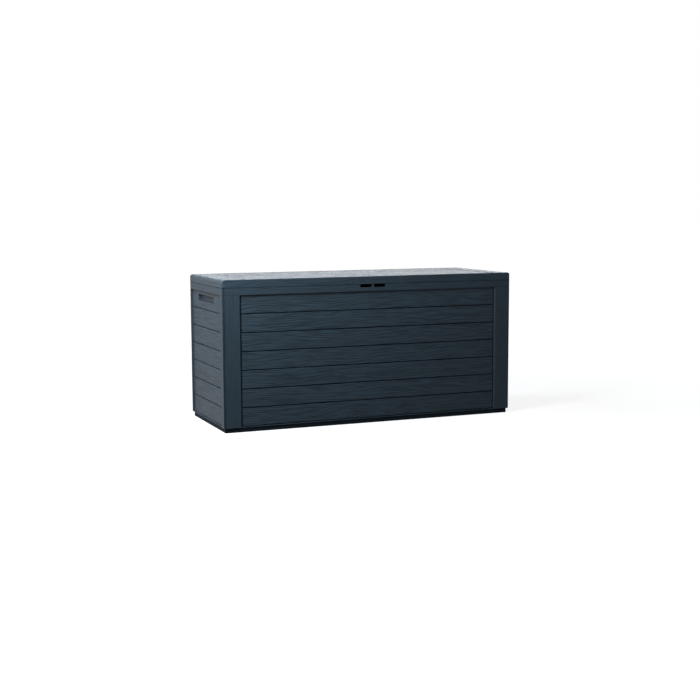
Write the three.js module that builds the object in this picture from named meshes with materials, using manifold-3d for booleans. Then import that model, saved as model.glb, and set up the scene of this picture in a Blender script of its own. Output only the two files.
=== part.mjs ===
// Deck storage box: a flat-pack resin chest with plank-pattern walls and a hinged lid.
// Millimetres, +X to the right, front at -Y, +Z up, origin under the centre of the box.
import * as THREE from "three";
import { mergeVertices } from "three/addons/utils/BufferGeometryUtils.js";
import Module from "manifold-3d";

const wasm = await Module();
wasm.setup();

// Overall sizes
const length = 1160; // end wall to end wall
const bodyDepth = 435; // front face to rear face of the walls
const height = 550; // ground to lid top
const lidHeight = 29; // lid top down to the edge of its skirt
const plinthHeight = 17; // base below the walls
const plinthInset = 6.5; // base behind the wall faces

// Moulded walls and the play between pieces
const skin = 2.8; // thickness of every moulded wall
const restGap = 0.3; // between faces that rest on each other
const slideGap = 0.4; // on each side of a tongue in its channel
const seamGap = 0.5; // open seam between a corner and the wall beside it
const drillOver = 1; // how far a cut starts outside the face it opens

// Plank-pattern panels
const postWidth = 67; // corner post on the long walls, corner included
const stripWidth = 38; // frame strip at the front of the end walls
const railHeight = 29.6; // top rail, from the lid line down to the planks
const fieldSet = 5.5; // planks lie this far behind the frame
const fieldBevel = 4; // slope from the frame down to the planks
const plankCount = 7; // boards up a wall
const grooveWidth = 5.5; // between two boards, at their faces
const grooveFloor = 2.4;
const grooveDraft = 0.7; // slope of a groove's upper side
const grooveDepth = 3.5;
const endGrooveWidth = 4; // V across the boards' ends
const ridgeWidth = 12; // thickening behind each groove
const ridgeHeight = 3.2;
const jointLineWidth = 2; // fine V between a post and the top rail
const jointLineDepth = 0.9;

// Wall edges
const cornerRadius = 6; // vertical outer corners, on the end walls, lid and base
const cornerReturn = 6.5; // end wall shows this much on the long faces
const beadWidth = 15; // thick edge of a long wall, which takes the studs
const flangeDepth = 24; // foot of each wall that rests on the base
const lipGap = 1; // between lid skirt and the lip inside it
const lipThickness = 2.4;
const lipHeight = 9; // lip above the wall top
const longRibCount = 8; // upright ribs inside a long wall
const longRibFromEnd = 132;
const endRibCount = 2; // and inside an end wall
const endRibFromEnd = 150;
const ribDepth = 8;
const ribThickness = 2.2;
const studEvery = 3; // floor studs stand this many rib pitches apart

// Hand recess in each end wall
const handleLength = 200;
const handleHeight = 24;
const handleDepth = 9; // behind the plank face
const handleEndDepth = 4; // at its ends, from where the floor slopes down
const handleSlope = 12; // length of each sloping end
const handleRadius = 5;
const handleBelowRail = 10.4; // upper edge of the recess, below the rail

// Padlock windows: notches in the front wall's upper edge, closed above by the lid
const barWidth = 8; // upright bar between the two windows
const windowLength = 46.5;
const windowHeight = 11.5;
const haspClearance = 1.4; // the lid's plate stands this far behind the wall
const haspWindowMargin = 1.5; // its windows are this much larger
const haspBorder = 4.5; // plate around its windows

// Lid
const lidEndRadius = 12; // rounded top edges at the two ends
const lidEdgeRadius = 3; // top edges along front and rear
const lidEndBorder = 80; // plain border at each end of the top
const lidSideBorder = 21; // plain border along front and rear
const lidPlanks = 6;
const lidTopSkin = 3.4; // thickness of the lid's top
const lidFieldSet = 0.6; // boards of the top lie this far below its border
const lidGrooveWidth = 4;
const lidGrooveDepth = 1.2;
const lidRibHeight = 9.4;
const lidRibInset = 26; // ribs stop this far inside the lid's faces
const lidLongRibs = 4;
const lidCrossRibs = 10;

// Hinges along the rear top edge
const hingeCount = 3;
const hingeFromEnd = 180;
const hingeInset = 3; // axis inside the rear face
const lidOpenAngle = 105; // the lid leans on the rear wall just beyond this
const stopGap = 0.1;
const barrelRadius = 6;
const barrelSwing = 0.8; // air round a barrel
const lidBarrelLength = 44;
const wallBarrelLength = 22;
const barrelGap = 0.6; // between neighbouring barrels
const pinRadius = 2.6;
const runGap = 0.3; // pin in its bore
const pinHeadRadius = 3.7;
const pinHeadLength = 2.2;
const gutterDepth = 8; // shelf under the barrels, below the axis
const barrelWebHeight = 10; // lid barrel's root up the skirt

// Locking studs, pushed in by hand at the corners and through the wall feet
const studHeadRadius = 5.8;
const studHeadHeight = 2.2;
const studShankRadius = 3.6;
const studHoleGap = 0.4;
const studEntry = 3.2; // corner stud in the thick edge
const studTail = 3; // floor stud below the deck
const studChamfer = 1;
const cornerStudHeights = [130, 400];

// Base tray
const curbHeight = 15; // upstand inside the wall feet
const trayRibThickness = 2.4;
const trayRibInset = 1; // ribs end inside the plinth's outer wall
const trayLongRibs = 4;
const trayCrossRibs = 10;
const studClearBelow = 1.2; // free height under a floor stud's tip
const padSize = 70; // ground pads at the corners and mid-length
const padThickness = 3;

// Fineness of round forms
const arcSteps = 5; // per quarter of an edge rounding
const roundSides = 14; // barrels, bores and pins
const studSides = 10;
const cleanTolerance = 0.01;

// Heights and planes that follow from the sizes above
const quarter = Math.PI / 2;
const lidLine = height - lidHeight;
const wallTop = lidLine - restGap;
const wallFoot = plinthHeight + restGap;
const fieldTop = lidLine - railHeight;
const plankPitch = (fieldTop - wallFoot) / plankCount;
const fieldBack = fieldSet + skin;
const tongueBack = 2 * skin + slideGap;
const legFront = tongueBack + slideGap;
const legBack = legFront + skin;
const legReach = cornerReturn + seamGap + beadWidth;
const longFaceHalf = length / 2 - cornerReturn - seamGap;
const tongueHalf = length / 2 - skin - slideGap;
const longFieldHalf = length / 2 - postWidth;
const rearStripWidth = legFront + skin + fieldBevel + seamGap;
const beadStart = longFaceHalf - beadWidth;
const studFromEnd = cornerReturn + seamGap + beadWidth / 2;
const studFromFace = (fieldBack + ridgeHeight + flangeDepth) / 2;
const studHoleRadius = studShankRadius + studHoleGap;
const lipFront = skin + lipGap;
const lipBack = lipFront + lipThickness;
const windowFoot = wallTop - windowHeight;
const windowOuter = barWidth / 2 + windowLength;
const haspFront = lipBack + haspClearance;
const haspBack = haspFront + skin;
const hingeProud = barrelRadius - hingeInset;
const openHalfAngle = THREE.MathUtils.degToRad(lidOpenAngle) / 2;
const stopDrop = hingeInset * Math.tan(openHalfAngle) + stopGap;
const rearTop = lidLine - stopDrop;
const tongueTop = rearTop - skin - slideGap;
const gutterTop = lidLine - gutterDepth;
const gutterBack = hingeInset + barrelRadius + lipGap + lipThickness;
const boreRadius = pinRadius + runGap;
const swingRadius = barrelRadius + barrelSwing;
const hingeHalf = lidBarrelLength / 2 + barrelGap + wallBarrelLength;
const longLipHalf = length / 2 - legReach - slideGap;

// ---- Solids: made by three.js geometry, joined and cut by manifold ----

function solidOf(geometry) {
  geometry.deleteAttribute("normal");
  geometry.deleteAttribute("uv");
  const merged = mergeVertices(geometry, 1e-4);
  const mesh = new wasm.Mesh({
    numProp: 3,
    vertProperties: new Float32Array(merged.attributes.position.array),
    triVerts: new Uint32Array(merged.index.array),
  });
  return new wasm.Manifold(mesh);
}

// Flat faces are joined up and slivers from the cuts closed before the mesh is taken.
function geometryOf(solid) {
  const mesh = solid.asOriginal().simplify(cleanTolerance).getMesh();
  const geometry = new THREE.BufferGeometry();
  geometry.setAttribute("position", new THREE.BufferAttribute(mesh.vertProperties, 3));
  geometry.setIndex(new THREE.BufferAttribute(mesh.triVerts, 1));
  const faceted = geometry.toNonIndexed();
  faceted.computeVertexNormals();
  return faceted;
}

function block([x0, x1], [y0, y1], [z0, z1]) {
  const geometry = new THREE.BoxGeometry(x1 - x0, y1 - y0, z1 - z0);
  geometry.translate((x0 + x1) / 2, (y0 + y1) / 2, (z0 + z1) / 2);
  return solidOf(geometry);
}

const alongX = [new THREE.Vector3(0, 1, 0), new THREE.Vector3(0, 0, 1), new THREE.Vector3(1, 0, 0)];
const alongY = [new THREE.Vector3(1, 0, 0), new THREE.Vector3(0, 0, 1), new THREE.Vector3(0, -1, 0)];
const alongZ = [new THREE.Vector3(1, 0, 0), new THREE.Vector3(0, 1, 0), new THREE.Vector3(0, 0, 1)];

// Extrudes a shape over a span of one axis. The shape lies in YZ, XZ or XY.
function extrude(shape, axes, [from, to], curveSegments = arcSteps) {
  const geometry = new THREE.ExtrudeGeometry(shape, {
    depth: to - from,
    bevelEnabled: false,
    curveSegments,
  });
  const start = axes === alongY ? -to : from;
  geometry.translate(0, 0, start);
  geometry.applyMatrix4(new THREE.Matrix4().makeBasis(...axes));
  return solidOf(geometry);
}

function outline(points) {
  return new THREE.Shape(points.map(([a, b]) => new THREE.Vector2(a, b)));
}

// Rectangle whose corners may have different radii: [low left, low right, high right, high left].
function roundedOutline([a0, a1], [b0, b1], [r0, r1, r2, r3]) {
  const shape = new THREE.Shape();
  const turn = (a, b, radius, start) => {
    if (radius > 0) shape.absarc(a, b, radius, start, start + Math.PI / 2, false);
    else shape.lineTo(a, b);
  };
  shape.moveTo(a0 + r0, b0);
  turn(a1 - r1, b0 + r1, r1, -Math.PI / 2);
  turn(a1 - r2, b1 - r2, r2, 0);
  turn(a0 + r3, b1 - r3, r3, Math.PI / 2);
  turn(a0 + r0, b0 + r0, r0, Math.PI);
  return shape;
}

function rodAlongX(radius, [x0, x1], y, z) {
  const geometry = new THREE.CylinderGeometry(radius, radius, x1 - x0, roundSides);
  geometry.rotateZ(quarter);
  geometry.translate((x0 + x1) / 2, y, z);
  return solidOf(geometry);
}

const join = (solids) => solids.reduce((sum, solid) => sum.add(solid));
const cut = (solid, tools) => tools.reduce((rest, tool) => rest.subtract(tool), solid);
const mirrored = (span) => [-span[1], -span[0]];
const bothEnds = (span) => [mirrored(span), span];
const orientedSpan = (span, side) => (side > 0 ? span : mirrored(span));
const spread = (count, pitch) => Array.from({ length: count }, (_, i) => (i - (count - 1) / 2) * pitch);

// ---- Wall panels, drawn with the outer face at y = 0 and the inside at +y ----

// Upper edges of the boards below each groove. The long walls have one more groove, at their foot.
const plankEdges = Array.from({ length: plankCount - 1 }, (_, i) => fieldTop - (i + 1) * plankPitch);
const longPlankEdges = [...plankEdges, wallFoot];

// The recess that the planks lie in: sloped at both sides and at the top, open at the foot.
function fieldRecess([left, right]) {
  const outerSpan = [left - fieldBevel, right + fieldBevel];
  const plan = outline([
    [outerSpan[0], 0],
    [outerSpan[0], -drillOver],
    [outerSpan[1], -drillOver],
    [outerSpan[1], 0],
    [right, fieldSet],
    [left, fieldSet],
  ]);
  const section = outline([
    [-drillOver, wallFoot - drillOver],
    [fieldSet, wallFoot - drillOver],
    [fieldSet, fieldTop],
    [0, fieldTop + fieldBevel],
    [-drillOver, fieldTop + fieldBevel],
  ]);
  const sides = extrude(plan, alongZ, [wallFoot - drillOver, wallTop]);
  return sides.intersect(extrude(section, alongX, outerSpan));
}

// Grooves above the given board edges: steep on the upper side, sloped on the lower one.
function plankGrooves(field, edges) {
  return edges.map((foot) => {
    const top = foot + grooveWidth;
    const floorTop = top - grooveDraft;
    const section = outline([
      [fieldSet - drillOver, foot],
      [fieldSet, foot],
      [fieldSet + grooveDepth, floorTop - grooveFloor],
      [fieldSet + grooveDepth, floorTop],
      [fieldSet, top],
      [fieldSet - drillOver, top],
    ]);
    return extrude(section, alongX, field);
  });
}

// A groove down each side of the field, across the boards' ends.
function endGrooves([left, right]) {
  const spans = [
    [left, left + endGrooveWidth],
    [right - endGrooveWidth, right],
  ];
  return spans.map(([from, to]) => {
    const vee = outline([
      [from, fieldSet],
      [from, fieldSet - drillOver],
      [to, fieldSet - drillOver],
      [to, fieldSet],
      [(from + to) / 2, fieldSet + grooveDepth],
    ]);
    return extrude(vee, alongZ, [wallFoot - drillOver, fieldTop]);
  });
}

// The wall is thickened inwards behind every groove.
function grooveRidges([left, right], edges) {
  const reach = [fieldBack - drillOver, fieldBack + ridgeHeight];
  const overhang = (ridgeWidth - grooveWidth) / 2;
  const boards = edges.map((z) =>
    block([left, right], reach, [Math.max(z - overhang, wallFoot), z + grooveWidth + overhang]),
  );
  const ends = [
    [left, left + ridgeWidth],
    [right - ridgeWidth, right],
  ];
  return [...boards, ...ends.map((span) => block(span, reach, [wallFoot, fieldTop]))];
}

// Fine lines where the top rail meets the posts.
function jointLines(halfWidth, [left, right]) {
  const z = fieldTop + fieldBevel;
  const vee = outline([
    [-drillOver, z - jointLineWidth / 2],
    [0, z - jointLineWidth / 2],
    [jointLineDepth, z],
    [0, z + jointLineWidth / 2],
    [-drillOver, z + jointLineWidth / 2],
  ]);
  const spans = [
    [-halfWidth, left - fieldBevel],
    [right + fieldBevel, halfWidth],
  ];
  return spans.map((span) => extrude(vee, alongX, span));
}

// A wall skin of one thickness, with the planks set back in a frame of rail and posts.
function framedPanel(halfWidth, field, edges, top) {
  const outer = halfWidth + drillOver;
  const stepSpan = [field[0] - fieldBevel - skin, field[1] + fieldBevel + skin];
  const stepTop = fieldTop + fieldBevel + skin;
  const behind = [skin, fieldBack + drillOver];
  const toTop = [wallFoot - drillOver, top + drillOver];
  const slab = block([-halfWidth, halfWidth], [0, fieldBack], [wallFoot, top]);
  const hollows = [
    block([-outer, stepSpan[0]], behind, toTop),
    block([stepSpan[1], outer], behind, toTop),
    block(stepSpan, behind, [stepTop, top + drillOver]),
  ];
  const panel = join([cut(slab, [fieldRecess(field), ...hollows]), ...grooveRidges(field, edges)]);
  const grooves = [...plankGrooves(field, edges), ...endGrooves(field), ...jointLines(halfWidth, field)];
  return cut(panel, grooves);
}

function uprightRibs(positions) {
  const reach = [fieldBack - drillOver, fieldBack + ribDepth];
  return positions.map((x) =>
    block([x - ribThickness / 2, x + ribThickness / 2], reach, [wallFoot, fieldTop]),
  );
}

function verticalHole(x, y, [z0, z1]) {
  const geometry = new THREE.CylinderGeometry(studHoleRadius, studHoleRadius, z1 - z0, studSides);
  geometry.rotateX(quarter);
  geometry.translate(x, y, (z0 + z1) / 2);
  return solidOf(geometry);
}

function holeThroughFace(x, z, [y0, y1]) {
  const geometry = new THREE.CylinderGeometry(studHoleRadius, studHoleRadius, y1 - y0, studSides);
  geometry.translate(x, (y0 + y1) / 2, z);
  return solidOf(geometry);
}

const longRibPitch = (length - 2 * longRibFromEnd) / (longRibCount - 1);
const longRibSpots = spread(longRibCount, longRibPitch);
const endRibSpots = spread(endRibCount, (bodyDepth - 2 * endRibFromEnd) / (endRibCount - 1));
const floorStudSpots = [-1, 0, 1].map((step) => step * studEvery * longRibPitch);
const longFlangeHalf = length / 2 - flangeDepth - skin;
const flangeHeights = [wallFoot, wallFoot + skin];

// What the front and rear walls share: panel, tongues, thick edges, foot and ribs.
function longWall(top) {
  const tongues = bothEnds([beadStart, tongueHalf]).map((span) =>
    block(span, [skin + slideGap, tongueBack], [wallFoot, tongueTop]),
  );
  const beads = bothEnds([beadStart, longFaceHalf]).map((span) =>
    block(span, [skin - drillOver, tongueBack], [wallFoot, tongueTop]),
  );
  const foot = block([-longFlangeHalf, longFlangeHalf], [skin - drillOver, flangeDepth], flangeHeights);
  const ribs = uprightRibs(longRibSpots);
  const panel = framedPanel(longFaceHalf, [-longFieldHalf, longFieldHalf], longPlankEdges, top);
  const drill = [wallFoot - drillOver, wallFoot + skin + drillOver];
  const footHoles = floorStudSpots.map((x) => verticalHole(x, studFromFace, drill));
  const studX = length / 2 - studFromEnd;
  const edgeHoles = cornerStudHeights.flatMap((z) =>
    [-studX, studX].map((x) => holeThroughFace(x, z, [tongueBack - studEntry, tongueBack + drillOver])),
  );
  return cut(join([panel, ...tongues, ...beads, foot, ...ribs]), [...footHoles, ...edgeHoles]);
}

function frontWall() {
  const shelfFoot = wallTop - skin;
  const lipTop = wallTop + lipHeight;
  const shelf = block([-longFaceHalf, longFaceHalf], [0, lipBack], [shelfFoot, wallTop]);
  const lip = block([-longLipHalf, longLipHalf], [lipFront, lipBack], [shelfFoot, lipTop]);
  const windows = bothEnds([barWidth / 2, windowOuter]).map((span) =>
    block(span, [-drillOver, lipBack + drillOver], [windowFoot, lipTop + drillOver]),
  );
  return cut(join([longWall(wallTop), shelf, lip]), windows);
}

function hingeCentres() {
  return spread(hingeCount, (length - 2 * hingeFromEnd) / (hingeCount - 1));
}

const lidBarrelSpan = (x, extra = 0) => [x - lidBarrelLength / 2 - extra, x + lidBarrelLength / 2 + extra];

function wallBarrelSpans(x) {
  return bothEnds([lidBarrelLength / 2 + barrelGap, hingeHalf]).map(([a, b]) => [x + a, x + b]);
}

// Where the lid's skirt makes room for the wall barrels and the pin's ends.
function skirtNotchSpans(x) {
  const outer = hingeHalf + restGap + pinHeadLength + barrelGap;
  return bothEnds([lidBarrelLength / 2, outer]).map(([a, b]) => [x + a, x + b]);
}

function rearWall() {
  const span = [-longLipHalf, longLipHalf];
  const gutterFoot = gutterTop - skin;
  const gutter = block(span, [skin - drillOver, gutterBack], [gutterFoot, gutterTop]);
  const lip = block(span, [gutterBack - lipThickness, gutterBack], [gutterFoot, wallTop + lipHeight]);
  const barrels = hingeCentres().flatMap((x) =>
    wallBarrelSpans(x).flatMap((barrelSpan) => [
      rodAlongX(barrelRadius, barrelSpan, hingeInset, lidLine),
      block(barrelSpan, [0, hingeInset + barrelRadius], [gutterFoot, lidLine]),
    ]),
  );
  const swings = hingeCentres().map((x) =>
    rodAlongX(swingRadius, lidBarrelSpan(x, barrelGap), hingeInset, lidLine),
  );
  const bores = hingeCentres().map((x) =>
    rodAlongX(boreRadius, [x - hingeHalf - drillOver, x + hingeHalf + drillOver], hingeInset, lidLine),
  );
  const wall = join([longWall(rearTop), gutter, lip]);
  return cut(cut(wall, swings).add(join(barrels)), bores);
}

// End walls turn the corners and hold the long walls' tongues between return and leg.
// rearSide is the end of the panel that stands at the rear, -1 or 1.
function endWall(rearSide) {
  const half = bodyDepth / 2;
  const returns = bothEnds([half - skin, half]).map((span) =>
    block(span, [0, cornerReturn], [wallFoot, wallTop]),
  );
  const legs = bothEnds([half - legBack, half - legFront]).map((span) =>
    block(span, [0, legReach], [wallFoot, wallTop]),
  );
  const caps = bothEnds([half - legBack, half]).map((span) =>
    block(span, [0, cornerReturn], [wallTop - skin, wallTop]),
  );
  const footHalf = half - legFront;
  const foot = block([-footHalf, footHalf], [skin - drillOver, flangeDepth], flangeHeights);
  const shelfHalf = half - legBack;
  const shelf = block([-shelfHalf, shelfHalf], [0, lipBack], [wallTop - skin, wallTop]);
  const lipHalf = half - gutterBack;
  const lip = block([-lipHalf, lipHalf], [lipFront, lipBack], [wallTop - skin, wallTop + lipHeight]);
  const field = orientedSpan([stripWidth - half, half - rearStripWidth], rearSide);
  const panel = framedPanel(half, field, plankEdges, wallTop);
  const solid = join([panel, ...returns, ...legs, ...caps, foot, ...uprightRibs(endRibSpots), shelf, lip]);
  const rounding = extrude(
    roundedOutline([-half, half], [0, length], [cornerRadius, cornerRadius, 0, 0]),
    alongZ,
    [wallFoot, wallTop + lipHeight],
  );
  const holes = cornerStudHeights.flatMap((z) => [-1, 1].map((side) => legHole(side, z)));
  const footHole = verticalHole(0, studFromFace, [wallFoot - drillOver, wallFoot + skin + drillOver]);
  const wall = lowerRearCorner(solid, rearSide).intersect(rounding);
  return cut(handleRecess(wall, (field[0] + field[1]) / 2), [...holes, footHole]);
}

// The rear corner ends as low as the rear wall does, so the lid's skirt can swing over it.
function lowerRearCorner(solid, rearSide) {
  const half = bodyDepth / 2;
  const reach = 2 * hingeInset;
  const notchSpan = orientedSpan([half - reach, half + drillOver], rearSide);
  const capSpan = orientedSpan([half - reach - skin, half], rearSide);
  const notch = block(notchSpan, [-drillOver, legReach], [rearTop, wallTop + drillOver]);
  const lowCap = block(capSpan, [0, cornerReturn], [rearTop - skin, rearTop]);
  return solid.subtract(notch).add(lowCap);
}

// Hole through a corner's inner leg; side is -1 or 1.
function legHole(side, z) {
  const inner = bodyDepth / 2 - legBack - drillOver;
  const outer = bodyDepth / 2 - legFront + slideGap / 2;
  const geometry = new THREE.CylinderGeometry(studHoleRadius, studHoleRadius, outer - inner, studSides);
  geometry.rotateZ(quarter);
  geometry.translate((side * (inner + outer)) / 2, studFromEnd, z);
  return solidOf(geometry);
}

// Rounded hand hold in the top board, centred at x; its floor slopes up at both ends.
function handleRecess(wall, x) {
  const top = fieldTop - handleBelowRail;
  const foot = top - handleHeight;
  const span = [x - handleLength / 2, x + handleLength / 2];
  const flat = [span[0] + handleSlope, span[1] - handleSlope];
  const floor = fieldSet + handleDepth;
  const endFloor = fieldSet + handleEndDepth;
  const mouth = roundedOutline(span, [foot, top], Array(4).fill(handleRadius));
  const shell = roundedOutline(
    [span[0] - skin, span[1] + skin],
    [foot - skin, top + skin],
    Array(4).fill(handleRadius + skin),
  );
  const plan = outline([
    [span[0], endFloor],
    [span[0], -drillOver],
    [span[1], -drillOver],
    [span[1], endFloor],
    [flat[1], floor],
    [flat[0], floor],
  ]);
  const hold = extrude(mouth, alongY, [-drillOver, floor], 3).intersect(extrude(plan, alongZ, [foot, top]));
  const cup = extrude(shell, alongY, [fieldSet, floor + skin], 3);
  return wall.add(cup).subtract(hold);
}

// ---- Base tray ----

function baseTray() {
  const halfX = length / 2 - plinthInset;
  const halfY = bodyDepth / 2 - plinthInset;
  const plan = roundedOutline([-halfX, halfX], [-halfY, halfY], Array(4).fill(cornerRadius));
  const outer = extrude(plan, alongZ, [0, plinthHeight], 3);
  const deckFoot = plinthHeight - skin;
  const hollow = block([-halfX + skin, halfX - skin], [-halfY + skin, halfY - skin], [-drillOver, deckFoot]);
  const curbX = length / 2 - flangeDepth - slideGap;
  const curbY = bodyDepth / 2 - flangeDepth - slideGap;
  const curbTop = plinthHeight + curbHeight;
  const curb = block([-curbX, curbX], [-curbY, curbY], [deckFoot, curbTop]);
  const insideCurb = block(
    [-curbX + skin, curbX - skin],
    [-curbY + skin, curbY - skin],
    [deckFoot - drillOver, curbTop + drillOver],
  );
  const holes = floorStudPlaces().map(([x, y]) =>
    verticalHole(x, y, [deckFoot - studTail - studClearBelow, plinthHeight + drillOver]),
  );
  const shell = outer.subtract(hollow);
  const rails = curb.subtract(insideCurb);
  return cut(join([shell, rails, ...trayRibs(halfX, halfY), ...groundPads(halfX, halfY)]), holes);
}

function trayRibs(halfX, halfY) {
  const heights = [padThickness / 2, plinthHeight - skin / 2];
  const reachX = [-halfX + trayRibInset, halfX - trayRibInset];
  const reachY = [-halfY + trayRibInset, halfY - trayRibInset];
  const half = trayRibThickness / 2;
  const cross = spread(trayCrossRibs, (2 * halfX) / (trayCrossRibs + 1)).map((x) =>
    block([x - half, x + half], reachY, heights),
  );
  const long = spread(trayLongRibs, (2 * halfY) / (trayLongRibs + 1)).map((y) =>
    block(reachX, [y - half, y + half], heights),
  );
  return [...cross, ...long];
}

function groundPads(halfX, halfY) {
  const outX = halfX - (padSize + skin) / 2;
  const outY = halfY - (padSize + skin) / 2;
  const half = padSize / 2;
  return [-outX, 0, outX].flatMap((x) =>
    [-outY, outY].map((y) => block([x - half, x + half], [y - half, y + half], [0, padThickness])),
  );
}

// Floor studs stand in the feet of all four walls.
function floorStudPlaces() {
  const y = bodyDepth / 2 - studFromFace;
  const x = length / 2 - studFromFace;
  const alongWalls = [-y, y].flatMap((side) => floorStudSpots.map((spot) => [spot, side]));
  return [...alongWalls, [-x, 0], [x, 0]];
}

// ---- Lid ----

function lidBlank() {
  const halfX = length / 2;
  const halfY = bodyDepth / 2;
  const ends = roundedOutline([-halfX, halfX], [lidLine, height], [0, 0, lidEndRadius, lidEndRadius]);
  const sides = roundedOutline([-halfY, halfY], [lidLine, height], [0, 0, lidEdgeRadius, lidEdgeRadius]);
  const plan = roundedOutline([-halfX, halfX], [-halfY, halfY], Array(4).fill(cornerRadius));
  return extrude(ends, alongY, [-halfY, halfY])
    .intersect(extrude(sides, alongX, [-halfX, halfX]))
    .intersect(extrude(plan, alongZ, [lidLine, height], 3));
}

function lidHollow() {
  const halfX = length / 2 - skin;
  const halfY = bodyDepth / 2 - skin;
  const radius = lidEndRadius - skin;
  const heights = [lidLine - drillOver, height - lidTopSkin];
  const ends = roundedOutline([-halfX, halfX], heights, [0, 0, radius, radius]);
  const corners = Array(4).fill(cornerRadius - skin);
  const plan = roundedOutline([-halfX, halfX], [-halfY, halfY], corners);
  return extrude(ends, alongY, [-halfY, halfY]).intersect(
    extrude(plan, alongZ, [lidLine - drillOver, height], 3),
  );
}

// The boards of the top: a shallow recess with a groove round it and between the boards.
function lidField() {
  const halfX = length / 2 - lidEndBorder;
  const halfY = bodyDepth / 2 - lidSideBorder;
  const face = height - lidFieldSet;
  const above = height + drillOver;
  const vee = (at) =>
    outline([
      [at - lidGrooveWidth / 2, face],
      [at, face - lidGrooveDepth],
      [at + lidGrooveWidth / 2, face],
      [at + lidGrooveWidth / 2, above],
      [at - lidGrooveWidth / 2, above],
    ]);
  const recess = block([-halfX, halfX], [-halfY, halfY], [face, above]);
  const boards = spread(lidPlanks + 1, (2 * halfY) / lidPlanks);
  const long = boards.map((y) => extrude(vee(y), alongX, [-halfX, halfX]));
  const cross = [-halfX, halfX].map((x) => extrude(vee(x), alongY, [-halfY, halfY]));
  return [recess, ...long, ...cross];
}

function lidRibs() {
  const halfX = length / 2 - lidRibInset;
  const halfY = bodyDepth / 2 - lidRibInset;
  const heights = [height - lidTopSkin - lidRibHeight, height - lidTopSkin / 2];
  const half = ribThickness / 2;
  const cross = spread(lidCrossRibs, (2 * halfX) / (lidCrossRibs - 1)).map((x) =>
    block([x - half, x + half], [-halfY, halfY], heights),
  );
  const long = spread(lidLongRibs, (2 * halfY) / (lidLongRibs - 1)).map((y) =>
    block([-halfX, halfX], [y - half, y + half], heights),
  );
  return [...cross, ...long];
}

// Plate hanging behind the padlock windows, so that a shackle ties lid and wall together.
function haspPlate() {
  const front = -bodyDepth / 2;
  const margin = haspWindowMargin;
  const halfX = windowOuter + margin + haspBorder;
  const heights = [windowFoot - margin - haspBorder, height - lidTopSkin / 2];
  const plate = block([-halfX, halfX], [front + haspFront, front + haspBack], heights);
  const windows = bothEnds([barWidth / 2 - margin, windowOuter + margin]).map((span) =>
    block(
      span,
      [front + haspFront - drillOver, front + haspBack + drillOver],
      [windowFoot - margin, wallTop + margin],
    ),
  );
  return cut(plate, windows);
}

function lid() {
  const rear = bodyDepth / 2;
  const axisY = rear - hingeInset;
  const barrels = hingeCentres().flatMap((x) => [
    rodAlongX(barrelRadius, lidBarrelSpan(x), axisY, lidLine),
    block(lidBarrelSpan(x), [axisY - barrelRadius, rear - skin / 2], [lidLine, lidLine + barrelWebHeight]),
  ]);
  const swings = hingeCentres().flatMap((x) =>
    skirtNotchSpans(x).map((span) => rodAlongX(swingRadius, span, axisY, lidLine)),
  );
  const bores = hingeCentres().map((x) =>
    rodAlongX(boreRadius, lidBarrelSpan(x, drillOver), axisY, lidLine),
  );
  const shell = cut(lidBlank().subtract(lidHollow()), swings);
  return cut(join([shell, ...lidRibs(), haspPlate(), ...barrels]), [...lidField(), ...bores]);
}

// ---- Pins and studs ----

// Revolves a profile of [radius, height] points, listed from the foot up.
function turned(points, sides) {
  const profile = points.map(([radius, z]) => new THREE.Vector2(radius, z));
  const geometry = new THREE.LatheGeometry(profile, sides);
  geometry.rotateX(quarter);
  return solidOf(geometry);
}

// Hinge pin: head outside one wall barrel, tapered tip beyond the other.
function hingePin() {
  const tip = hingeHalf + studChamfer + barrelGap;
  const underHead = hingeHalf + restGap;
  return turned(
    [
      [0, -tip],
      [pinRadius - studChamfer, -tip],
      [pinRadius, -tip + studChamfer],
      [pinRadius, underHead],
      [pinHeadRadius, underHead],
      [pinHeadRadius, underHead + pinHeadLength],
      [0, underHead + pinHeadLength],
    ],
    roundSides,
  );
}

// Push-in stud: its seat is at z = 0, the shank points down.
function lockingStud(shankLength) {
  return turned(
    [
      [0, -shankLength],
      [studShankRadius - studChamfer, -shankLength],
      [studShankRadius, -shankLength + studChamfer],
      [studShankRadius, 0],
      [studHeadRadius, 0],
      [studHeadRadius, studHeadHeight - studChamfer],
      [studHeadRadius - studChamfer, studHeadHeight],
      [0, studHeadHeight],
    ],
    studSides,
  );
}

// ---- Assembly ----

const anthracite = { color: 0x2e3942, roughness: 0.55, metalness: 0 };
const blackPlastic = { color: 0x17191b, roughness: 0.5, metalness: 0 };

// Everything but the hinge proud of the rear face is centred; the box as a whole is centred too.
const box = new THREE.Group();
box.position.y = -hingeProud / 2;

function place(name, geometry, finish, position = [0, 0, 0], rotation = [0, 0, 0]) {
  const mesh = new THREE.Mesh(geometry, new THREE.MeshStandardMaterial(finish));
  mesh.name = name;
  mesh.position.set(...position);
  mesh.rotation.set(...rotation);
  box.add(mesh);
}

place("base_tray", geometryOf(baseTray()), anthracite);
place("front_wall", geometryOf(frontWall()), anthracite, [0, -bodyDepth / 2, 0]);
place("rear_wall", geometryOf(rearWall()), anthracite, [0, bodyDepth / 2, 0], [0, 0, 2 * quarter]);
place("left_wall", geometryOf(endWall(-1)), anthracite, [-length / 2, 0, 0], [0, 0, -quarter]);
place("right_wall", geometryOf(endWall(1)), anthracite, [length / 2, 0, 0], [0, 0, quarter]);
place("lid", geometryOf(lid()), anthracite);

const pinGeometry = geometryOf(hingePin());
hingeCentres().forEach((x, i) => {
  const name = "hinge_pin_" + ["left", "middle", "right"][i];
  place(name, pinGeometry, blackPlastic, [x, bodyDepth / 2 - hingeInset, lidLine], [0, quarter, 0]);
});

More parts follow.
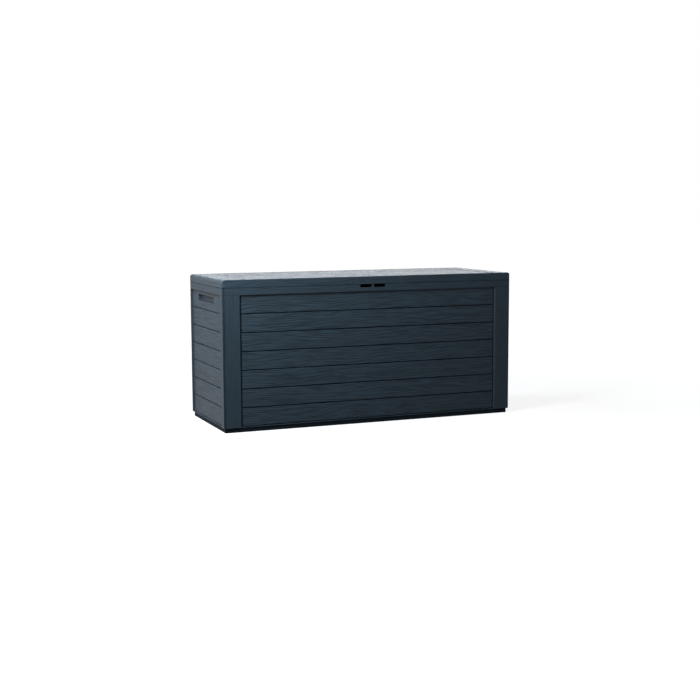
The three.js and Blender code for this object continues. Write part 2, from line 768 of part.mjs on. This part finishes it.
// Corner studs push outwards through the end walls' legs into the long walls' edges.
const cornerStud = geometryOf(lockingStud(skin + slideGap + studEntry - restGap));
for (const [front, facing] of [["front", -1], ["rear", 1]]) {
  for (const [side, sign] of [["left", -1], ["right", 1]]) {
    cornerStudHeights.forEach((z, i) => {
      const name = ["corner_stud", front, side, ["lower", "upper"][i]].join("_");
      const x = sign * (length / 2 - studFromEnd);
      const y = facing * (bodyDepth / 2 - legBack - restGap);
      place(name, cornerStud, blackPlastic, [x, y, z], [facing * quarter, 0, 0]);
    });
  }
}

// Floor studs push down through the wall feet into the base.
const floorStud = geometryOf(lockingStud(skin + restGap + skin + studTail));
const floorStudNames = [
  ...["front", "rear"].flatMap((side) => ["left", "middle", "right"].map((spot) => side + "_" + spot)),
  "left_end",
  "right_end",
];
floorStudPlaces().forEach(([x, y], i) => {
  place("floor_stud_" + floorStudNames[i], floorStud, blackPlastic, [x, y, wallFoot + skin + restGap]);
});

const part = new THREE.Group();
part.add(box);
export default part;
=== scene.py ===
"""Deck storage box: camera, studio and moulded-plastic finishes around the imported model.

Every size is in metres in the model's own frame: X to the right, front at -Y, ground at Z = 0.
"""
import math

import bpy
from mathutils import Matrix, Vector


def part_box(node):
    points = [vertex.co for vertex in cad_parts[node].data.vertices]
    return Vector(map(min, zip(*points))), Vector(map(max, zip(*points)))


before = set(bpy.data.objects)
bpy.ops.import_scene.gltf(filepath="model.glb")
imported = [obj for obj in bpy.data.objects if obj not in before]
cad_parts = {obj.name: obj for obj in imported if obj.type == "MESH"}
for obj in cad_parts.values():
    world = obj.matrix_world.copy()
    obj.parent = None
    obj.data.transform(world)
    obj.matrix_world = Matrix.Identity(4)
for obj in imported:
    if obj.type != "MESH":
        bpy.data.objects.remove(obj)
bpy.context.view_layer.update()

# ---- Sizes of the panels, worked out from the frame ----

wall_low, wall_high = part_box("left_wall")
front_low, front_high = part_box("front_wall")
lid_low, lid_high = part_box("lid")

LID_LINE = 0.521
RAIL_HEIGHT = 0.0296
RAIL_FOOT = LID_LINE - RAIL_HEIGHT
WALL_FOOT = front_low.z
PLANK_COUNT = 7
PLANK_PITCH = (RAIL_FOOT - WALL_FOOT) / PLANK_COUNT

POST_WIDTH = 0.067
POST_FROM = -wall_low.x - POST_WIDTH
FRONT_STRIP = 0.038
REAR_STRIP = 0.0137
END_FIELD_FRONT = wall_low.y + FRONT_STRIP
END_FIELD_REAR = wall_high.y - REAR_STRIP
END_FIELD_MIDDLE = (END_FIELD_FRONT + END_FIELD_REAR) / 2
END_FIELD_HALF = (END_FIELD_REAR - END_FIELD_FRONT) / 2

WALL_MIDDLE = (wall_low.y + wall_high.y) / 2
WALL_HALF = (wall_high.y - wall_low.y) / 2
CORNER_RADIUS = 0.006

LID_BOARDS = 6
LID_SIDE_BORDER = 0.021
LID_END_BORDER = 0.080
LID_GROOVE_WIDTH = 0.004
LID_BOARDS_FROM = wall_low.y + LID_SIDE_BORDER
LID_BOARD_PITCH = (wall_high.y - wall_low.y - 2 * LID_SIDE_BORDER) / LID_BOARDS
LID_FIELD_HALF = lid_high.x - LID_END_BORDER

# ---- Camera ----

CAMERA_PLACE = Vector((-1.8186, -4.3991, 0.8087))
CAMERA_YAW = math.radians(22.43)
CAMERA_PITCH = math.radians(-6.682)
CAMERA_ROLL = math.radians(-0.225)
CAMERA_LENS = 63.27
SENSOR_WIDTH = 36.0


def add_camera():
    forward = Vector((
        math.sin(CAMERA_YAW) * math.cos(CAMERA_PITCH),
        math.cos(CAMERA_YAW) * math.cos(CAMERA_PITCH),
        math.sin(CAMERA_PITCH),
    ))
    level = forward.cross(Vector((0, 0, 1))).normalized()
    upright = level.cross(forward)
    right = level * math.cos(CAMERA_ROLL) + upright * math.sin(CAMERA_ROLL)
    up = upright * math.cos(CAMERA_ROLL) - level * math.sin(CAMERA_ROLL)
    data = bpy.data.cameras.new("camera")
    data.lens = CAMERA_LENS
    data.sensor_width = SENSOR_WIDTH
    camera = bpy.data.objects.new("camera", data)
    turn = Matrix((right, up, -forward)).transposed().to_4x4()
    camera.matrix_world = Matrix.Translation(CAMERA_PLACE) @ turn
    bpy.context.scene.collection.objects.link(camera)
    bpy.context.scene.camera = camera


# ---- Node trees ----


class Tree:
    """A short way to add nodes and link them."""

    def __init__(self, owner):
        owner.use_nodes = True
        self.tree = owner.node_tree
        self.tree.nodes.clear()

    def node(self, kind, inputs=None, **settings):
        made = self.tree.nodes.new(kind)
        for key, value in settings.items():
            setattr(made, key, value)
        for key, value in (inputs or {}).items():
            self.feed(made.inputs[key], value)
        return made

    def feed(self, socket, value):
        if isinstance(value, bpy.types.NodeSocket):
            self.tree.links.new(value, socket)
        else:
            socket.default_value = value

    def math(self, operation, *values):
        made = self.node("ShaderNodeMath", operation=operation)
        for socket, value in zip(made.inputs, values):
            self.feed(socket, value)
        return made.outputs[0]

    def times(self, first, second):
        return self.math("MULTIPLY", first, second)

    def apart(self, first, second):
        """How far two values lie from each other."""
        return self.math("ABSOLUTE", self.math("SUBTRACT", first, second))

    def smooth(self, value, low, high, to_low=0.0, to_high=1.0):
        made = self.node("ShaderNodeMapRange", interpolation_type="SMOOTHSTEP")
        for key, number in zip(("Value", "From Min", "From Max", "To Min", "To Max"),
                               (value, low, high, to_low, to_high)):
            self.feed(made.inputs[key], number)
        return made.outputs["Result"]

    def blend(self, factor, first, second):
        made = self.node("ShaderNodeMix", data_type="FLOAT")
        for index, value in ((0, factor), (2, first), (3, second)):
            self.feed(made.inputs[index], value)
        return made.outputs[0]

    def tint(self, factor, first, second):
        made = self.node("ShaderNodeMix", data_type="RGBA")
        for index, value in ((0, factor), (6, first), (7, second)):
            self.feed(made.inputs[index], value)
        return made.outputs[2]

    def vector(self, x, y, z):
        made = self.node("ShaderNodeCombineXYZ")
        for socket, value in zip(made.inputs, (x, y, z)):
            self.feed(socket, value)
        return made.outputs[0]

    def split(self, vector):
        return self.node("ShaderNodeSeparateXYZ", {"Vector": vector}).outputs

    def object_normal(self):
        return self.split(self.node("ShaderNodeTexCoord").outputs["Normal"])

    def noise(self, place, scale, detail):
        settings = {"Vector": place, "Scale": scale, "Detail": detail, "Roughness": 0.5}
        return self.node("ShaderNodeTexNoise", settings).outputs["Fac"]


# ---- Moulded plastic ----

RESIN = (0.0155, 0.0272, 0.0380)
# The walls' resin at about 0.62 of its brightness: painted shade on the base under the walls' overhang.
BASE_RESIN_IN_PAINTED_SHADE = (0.0095, 0.0168, 0.0235)
FITTING_RESIN = (0.008, 0.009, 0.010)
# Painted shade: the dark colour laid into grooves, seams and recesses.
PAINTED_SHADE_COLOUR = (0.0006, 0.0040, 0.0095)  # in grooves and seams

GLOSS_INDEX = 1.22
MOTTLE_CELLS = 9.0  # noise cells per metre
MOTTLE_SHADE = 0.05
PIT_CELLS = 900.0
PIT_DEPTH = 0.00004
GRAIN_DEPTH = 0.0011
GRAIN_SHADE = (0.66, 1.3)  # paint at the foot and at the crest of the grain
GRAIN_GLOSS = 0.05

EDGE_RADIUS = 0.0010
EDGE_TURN = (0.97, 0.80)  # cosine of the bevelled normal's turn, from flat to edge
EDGE_OPENNESS = (0.6, 0.95)
# Painted highlight, partly edge wear: how much open edges are lightened in colour.
EDGE_WEAR_AND_HIGHLIGHT = 0.35
# Painted shade: how far the occlusion looks, and the openness over which it darkens the colour.
GROOVE_REACH = 0.006
GROOVE_OPENNESS = (0.5, 0.85)  # from full shade to none


def plastic(name, colour, roughness, grain_of=None, reach=GROOVE_REACH, painted_shade_of=None, open_of=None):
    """Matte moulded plastic.

    grain_of(tree, place) gives the embossed height, from 0 to 1. The painted-shade mask gives 1 where no
    shade is painted and less where painted shade lies, and open_of gives 0 where a groove's painted shade
    is left out.
    """
    material = bpy.data.materials.new(name)
    tree = Tree(material)
    place = tree.node("ShaderNodeTexCoord").outputs["Object"]
    pits = tree.noise(place, PIT_CELLS, detail=1.0)
    mottle = tree.noise(place, MOTTLE_CELLS, detail=3.0)
    grain = grain_of(tree, place) if grain_of else None

    bevel = tree.node("ShaderNodeBevel", {"Radius": EDGE_RADIUS}, samples=6)
    geometry = tree.node("ShaderNodeNewGeometry")
    turn = tree.node("ShaderNodeVectorMath", operation="DOT_PRODUCT")
    tree.feed(turn.inputs[0], bevel.outputs["Normal"])
    tree.feed(turn.inputs[1], geometry.outputs["True Normal"])
    edge = tree.smooth(turn.outputs["Value"], *EDGE_TURN)
    occlusion = tree.node("ShaderNodeAmbientOcclusion", {"Distance": reach}, samples=8)
    openness = occlusion.outputs["AO"]

    height = tree.times(pits, PIT_DEPTH)
    if grain:
        height = tree.math("ADD", height, tree.times(grain, GRAIN_DEPTH))
    relief = {"Height": height, "Distance": 1.0, "Normal": bevel.outputs["Normal"]}
    bump = tree.node("ShaderNodeBump", relief)

    # Painted shade: the occlusion node darkens the colour towards a near-black blue, and roughens it, in
    # grooves, creases, recesses and seams.
    painted_shade_mix = tree.smooth(openness, *GROOVE_OPENNESS, 1.0, 0.0)
    if open_of:
        painted_shade_mix = tree.times(painted_shade_mix, open_of(tree, place))
    if painted_shade_of:
        painted_shade_mix = tree.math("MAXIMUM", painted_shade_mix, tree.math("SUBTRACT", 1.0, painted_shade_of(tree, place)))

    shade = tree.blend(mottle, 1 - MOTTLE_SHADE, 1 + MOTTLE_SHADE)
    if grain:
        shade = tree.times(shade, tree.blend(grain, *GRAIN_SHADE))
    # Painted highlight, partly edge wear: edges out in the open get a lighter colour.
    edge_wear_and_highlight = tree.times(edge, tree.smooth(openness, *EDGE_OPENNESS))
    shade = tree.math("ADD", shade, tree.times(edge_wear_and_highlight, EDGE_WEAR_AND_HIGHLIGHT))
    paint = tree.node("ShaderNodeVectorMath", operation="SCALE")
    tree.feed(paint.inputs[0], colour)
    tree.feed(paint.inputs["Scale"], shade)

    gloss = tree.blend(mottle, roughness - 0.04, roughness + 0.05)
    if grain:
        gloss = tree.math("ADD", gloss, tree.blend(grain, GRAIN_GLOSS, -GRAIN_GLOSS))
    shader = tree.node("ShaderNodeBsdfPrincipled", {
        "Base Color": tree.tint(painted_shade_mix, paint.outputs["Vector"], (*PAINTED_SHADE_COLOUR, 1.0)),
        "Roughness": tree.blend(painted_shade_mix, gloss, 1.0),
        "IOR": GLOSS_INDEX,
        "Normal": bump.outputs["Normal"],
    })
    tree.node("ShaderNodeOutputMaterial", {"Surface": shader.outputs[0]})
    return material


# ---- Embossed wood grain ----

# Noise cells per metre, along and across a board.
BEND_CELLS = (3.4, 13.0)
RING_CELLS = (11.0, 290.0)
STREAK_CELLS = (24.0, 520.0)

BEND_DRIFT = 0.06
RING_CUT = (0.36, 0.64)
STREAK_CUT = (0.3, 0.7)
RING_SHARE = 0.8
SEED_STEP = 7.31

FRAME_RELIEF = 0.45  # share of the grain's relief on posts and rails
END_WALL_RELIEF = 0.7
SKIRT_RELIEF = 0.5
LID_FRONT_SEED = 31.0
LID_END_SEED = 37.0


def grain_noise(tree, along, across, cells, seed):
    place = tree.vector(tree.times(along, cells[0]), tree.times(across, cells[1]), seed)
    return tree.noise(place, 1.0, detail=1.0)


def wood_grain(tree, along, across, board):
    """Height from 0 to 1. along and across are metres, and board picks its own pattern."""
    seed = tree.times(board, SEED_STEP)
    bend = grain_noise(tree, along, across, BEND_CELLS, seed)
    drift = tree.times(tree.math("SUBTRACT", bend, 0.5), BEND_DRIFT)
    bent = tree.math("ADD", across, drift)
    rings = tree.smooth(grain_noise(tree, along, bent, RING_CELLS, seed), *RING_CUT)
    streaks = tree.smooth(grain_noise(tree, along, bent, STREAK_CELLS, seed), *STREAK_CUT)
    return tree.math("ADD", tree.times(rings, RING_SHARE), tree.times(streaks, 1 - RING_SHARE))


def quieter(tree, grain, where, share):
    """The grain, with its relief cut to a share where the mask is 1."""
    calm = tree.blend(share, 0.5, grain)
    return tree.blend(where, grain, calm)


def wall_grain(along_axis):
    """Grain of a framed wall: along the boards and rail, upright on the posts, none inside."""
    end_wall = along_axis == "Y"
    middle = END_FIELD_MIDDLE if end_wall else 0.0
    post_from = END_FIELD_HALF if end_wall else POST_FROM

    def grain(tree, place):
        x, y, z = tree.split(place)
        nx, ny, nz = tree.object_normal()
        along, out, facing = (y, x, nx) if end_wall else (x, y, ny)
        above_foot = tree.math("SUBTRACT", z, WALL_FOOT)
        board = tree.math("FLOOR", tree.math("DIVIDE", above_foot, PLANK_PITCH))
        lengthwise = wood_grain(tree, along, z, board)
        upright = wood_grain(tree, z, along, tree.math("SIGN", along))
        on_post = tree.math("GREATER_THAN", tree.apart(along, middle), post_from)
        under_rail = tree.math("LESS_THAN", z, RAIL_FOOT)
        height = tree.blend(tree.times(on_post, under_rail), lengthwise, upright)
        on_frame = tree.math("MAXIMUM", on_post, tree.math("SUBTRACT", 1.0, under_rail))
        height = quieter(tree, height, on_frame, FRAME_RELIEF)
        if end_wall:
            height = quieter(tree, height, 1.0, END_WALL_RELIEF)
        outward = tree.times(facing, tree.math("SIGN", out))
        return quieter(tree, height, tree.math("LESS_THAN", outward, -0.1), 0.0)

    return grain


def lid_grain(tree, place):
    x, y, z = tree.split(place)
    nx, ny, nz = tree.object_normal()
    from_border = tree.math("SUBTRACT", y, LID_BOARDS_FROM)
    board = tree.math("FLOOR", tree.math("DIVIDE", from_border, LID_BOARD_PITCH))
    top = wood_grain(tree, x, y, board)
    front = wood_grain(tree, x, z, LID_FRONT_SEED)
    end = wood_grain(tree, y, z, LID_END_SEED)
    on_end = tree.math("GREATER_THAN", tree.math("ABSOLUTE", nx), 0.5)
    skirt = quieter(tree, tree.blend(on_end, front, end), 1.0, SKIRT_RELIEF)
    height = tree.blend(tree.math("GREATER_THAN", nz, 0.5), skirt, top)
    return quieter(tree, height, tree.math("LESS_THAN", nz, -0.3), 0.0)


# ---- Painted shade in seams, corners and grooves ----

SEAM_HALF = (0.0009, 0.0016)
SEAM_SHADE = 0.35
CORNER_SHADE = 0.4
LID_GROOVE_CORE = 0.0004
LID_GROOVE_SHADE = 0.2
LID_END_GROOVE_SPREAD = 0.7  # below 1, the groove across the boards gets a wider shade
LID_TOP_DEPTH = 0.003
RAIL_SLOPE_DROP = 0.002
RAIL_SLOPE_HALF = (0.004, 0.008)


def seam_painted_shade(tree, place):
    """Painted shade in the seam between lid and walls."""
    off_seam = tree.apart(tree.split(place)["Z"], LID_LINE)
    return tree.smooth(off_seam, *SEAM_HALF, SEAM_SHADE, 1.0)


def end_wall_painted_shade(tree, place):
    """Painted shade in the seam, and painted shade on the strips at the upright corners."""
    reach = tree.apart(tree.split(place)["Y"], WALL_MIDDLE)
    strip_from = WALL_HALF - CORNER_RADIUS
    strip_full = WALL_HALF - CORNER_RADIUS / 2
    corner = tree.smooth(reach, strip_from, strip_full, 1.0, CORNER_SHADE)
    return tree.times(corner, seam_painted_shade(tree, place))


def under_rail_open(tree, place):
    """0 along the slope below an end wall's rail, where no shade is painted."""
    off_slope = tree.apart(tree.split(place)["Z"], RAIL_FOOT - RAIL_SLOPE_DROP)
    return tree.smooth(off_slope, *RAIL_SLOPE_HALF)


def lid_groove_painted_shade(tree, place):
    """Painted shade along the shallow grooves of the lid's top, with the seam's painted shade."""
    x, y, z = tree.split(place)
    boards = tree.math("DIVIDE", tree.math("SUBTRACT", y, LID_BOARDS_FROM), LID_BOARD_PITCH)
    between = tree.times(tree.apart(boards, tree.math("ROUND", boards)), LID_BOARD_PITCH)
    across = tree.math("ABSOLUTE", x)
    at_end = tree.apart(across, LID_FIELD_HALF)
    beyond = tree.math("GREATER_THAN", across, LID_FIELD_HALF)
    to_board_groove = tree.math("ADD", between, beyond)
    to_groove = tree.math("MINIMUM", to_board_groove, tree.times(at_end, LID_END_GROOVE_SPREAD))
    on_top = tree.math("GREATER_THAN", z, lid_high.z - LID_TOP_DEPTH)
    line = tree.smooth(to_groove, LID_GROOVE_CORE, LID_GROOVE_WIDTH / 2, LID_GROOVE_SHADE, 1.0)
    return tree.times(tree.blend(on_top, 1.0, line), seam_painted_shade(tree, place))


# ---- Finishes and rounded edges of the nodes ----

LONG_WALLS = ("front_wall", "rear_wall")
END_WALLS = ("left_wall", "right_wall")

WELD_REACH = 0.00002
FLAT_ANGLE = math.radians(0.5)
EDGE_ANGLE = math.radians(35)
EDGE_ROUNDING = 0.0008


def dress(names, material):
    for name in names:
        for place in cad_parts[name].material_slots:
            place.material = material


def round_edges(name):
    """Softens a moulded piece's edges. Its flat faces are joined first, so that only real edges are cut."""
    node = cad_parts[name]
    weld = node.modifiers.new("weld", "WELD")
    weld.merge_threshold = WELD_REACH
    flat = node.modifiers.new("flat", "DECIMATE")
    flat.decimate_type = "DISSOLVE"
    flat.angle_limit = FLAT_ANGLE
    bevel = node.modifiers.new("bevel", "BEVEL")
    bevel.width = EDGE_ROUNDING
    bevel.segments = 2
    bevel.limit_method = "ANGLE"
    bevel.angle_limit = EDGE_ANGLE
    bevel.use_clamp_overlap = True


def finish_nodes():
    fittings = [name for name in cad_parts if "stud" in name or "pin" in name]
    # Each finish paints shade into its seams and grooves; the end walls also on their corner strips, the
    # lid along its top's grooves.
    dress(LONG_WALLS, plastic("wall_resin_long", RESIN, 0.44, wall_grain("X"), painted_shade_of=seam_painted_shade))
    dress(END_WALLS, plastic("wall_resin_end", RESIN, 0.5, wall_grain("Y"), reach=0.004,
                             painted_shade_of=end_wall_painted_shade, open_of=under_rail_open))
    dress(["lid"], plastic("lid_resin", RESIN, 0.44, lid_grain, painted_shade_of=lid_groove_painted_shade))
    # The base's darker colour and wider occlusion reach paint shade under the walls and near the ground.
    dress(["base_tray"], plastic("base_resin", BASE_RESIN_IN_PAINTED_SHADE, 0.75, reach=0.02))
    dress(fittings, plastic("fitting_resin", FITTING_RESIN, 0.42))
    for name in (*LONG_WALLS, *END_WALLS, "lid", "base_tray"):
        round_edges(name)


# ---- Studio ----

FLOOR_REACH = 20.0
FLOOR_BOUNCE = (0.07, 0.07, 0.07, 1.0)  # for the light that the floor throws back
FLOOR_SEEN = (0.2, 0.2, 0.2, 1.0)  # takes the object's shadow
FLOOR_GLOW_FROM = 0.9
FLOOR_GLOW_TO = 3.5
FLOOR_GLOW = (0.84, 1.0)  # near the object and far from it
WHITE = (1, 1, 1, 1)
AMBIENT = 0.1

FRONT_TINT = (0.96, 0.985, 1.0)
LEFT_TINT = (0.87, 0.95, 1.0)
BACK_TINT = (0.93, 0.95, 1.0)


def seen_rays(tree):
    """1 for the rays by which the background is seen: straight, mirrored or through glass."""
    rays = tree.node("ShaderNodeLightPath").outputs
    mirrored = tree.math("MAXIMUM", rays["Is Glossy Ray"], rays["Is Transmission Ray"])
    return tree.math("MAXIMUM", rays["Is Camera Ray"], mirrored)


def floor_material():
    material = bpy.data.materials.new("floor")
    tree = Tree(material)
    matte = tree.node("ShaderNodeBsdfDiffuse", {"Color": FLOOR_BOUNCE})
    pale = tree.node("ShaderNodeBsdfDiffuse", {"Color": FLOOR_SEEN})
    place = tree.node("ShaderNodeTexCoord").outputs["Object"]
    away = tree.node("ShaderNodeVectorMath", {0: place}, operation="LENGTH").outputs["Value"]
    strength = tree.smooth(away, FLOOR_GLOW_FROM, FLOOR_GLOW_TO, *FLOOR_GLOW)
    glow = tree.node("ShaderNodeEmission", {"Color": WHITE, "Strength": strength})
    seen = tree.node("ShaderNodeAddShader", {0: pale.outputs[0], 1: glow.outputs[0]})
    surface = {0: seen_rays(tree), 1: matte.outputs[0], 2: seen.outputs[0]}
    mix = tree.node("ShaderNodeMixShader", surface)
    tree.node("ShaderNodeOutputMaterial", {"Surface": mix.outputs[0]})
    return material


def add_floor():
    corners = [(-FLOOR_REACH, -FLOOR_REACH, 0), (FLOOR_REACH, -FLOOR_REACH, 0),
               (FLOOR_REACH, FLOOR_REACH, 0), (-FLOOR_REACH, FLOOR_REACH, 0)]
    mesh = bpy.data.meshes.new("floor")
    mesh.from_pydata(corners, [], [(0, 1, 2, 3)])
    floor = bpy.data.objects.new("floor", mesh)
    bpy.context.scene.collection.objects.link(floor)
    mesh.materials.append(floor_material())


def light_world():
    world = bpy.data.worlds.new("studio")
    bpy.context.scene.world = world
    tree = Tree(world)
    strength = tree.blend(seen_rays(tree), AMBIENT, 1.0)
    glow = tree.node("ShaderNodeBackground", {"Color": WHITE, "Strength": strength})
    tree.node("ShaderNodeOutputWorld", {"Surface": glow.outputs[0]})


def add_softbox(name, place, target, width, depth, watts, tint):
    data = bpy.data.lights.new(name, "AREA")
    data.shape = "RECTANGLE"
    data.size = width
    data.size_y = depth
    data.energy = watts
    data.color = tint
    lamp = bpy.data.objects.new(name, data)
    lamp.visible_camera = False
    aim = (Vector(target) - Vector(place)).to_track_quat("-Z", "Y")
    lamp.matrix_world = Matrix.Translation(place) @ aim.to_matrix().to_4x4()
    bpy.context.scene.collection.objects.link(lamp)


def add_studio():
    add_floor()
    light_world()
    add_softbox("softbox_key", place=(-0.98, -0.72, 1.3), target=(-0.38, 0, 0.38),
                width=0.6, depth=0.6, watts=40, tint=FRONT_TINT)
    add_softbox("softbox_front", place=(0.35, -1.25, 1.75), target=(0.3, 0, 0.45),
                width=1.2, depth=0.8, watts=8.5, tint=FRONT_TINT)
    add_softbox("softbox_left", place=(-1.9, 0.8, 2.4), target=(0, 0, 0.28),
                width=1.4, depth=1.4, watts=92, tint=LEFT_TINT)
    add_softbox("softbox_back", place=(1.0, 2.79, 1.1), target=(0, 0, 0.28),
                width=2.4, depth=1.4, watts=35, tint=BACK_TINT)


add_camera()
finish_nodes()
add_studio()
bpy.context.scene.view_settings.view_transform = "Standard"
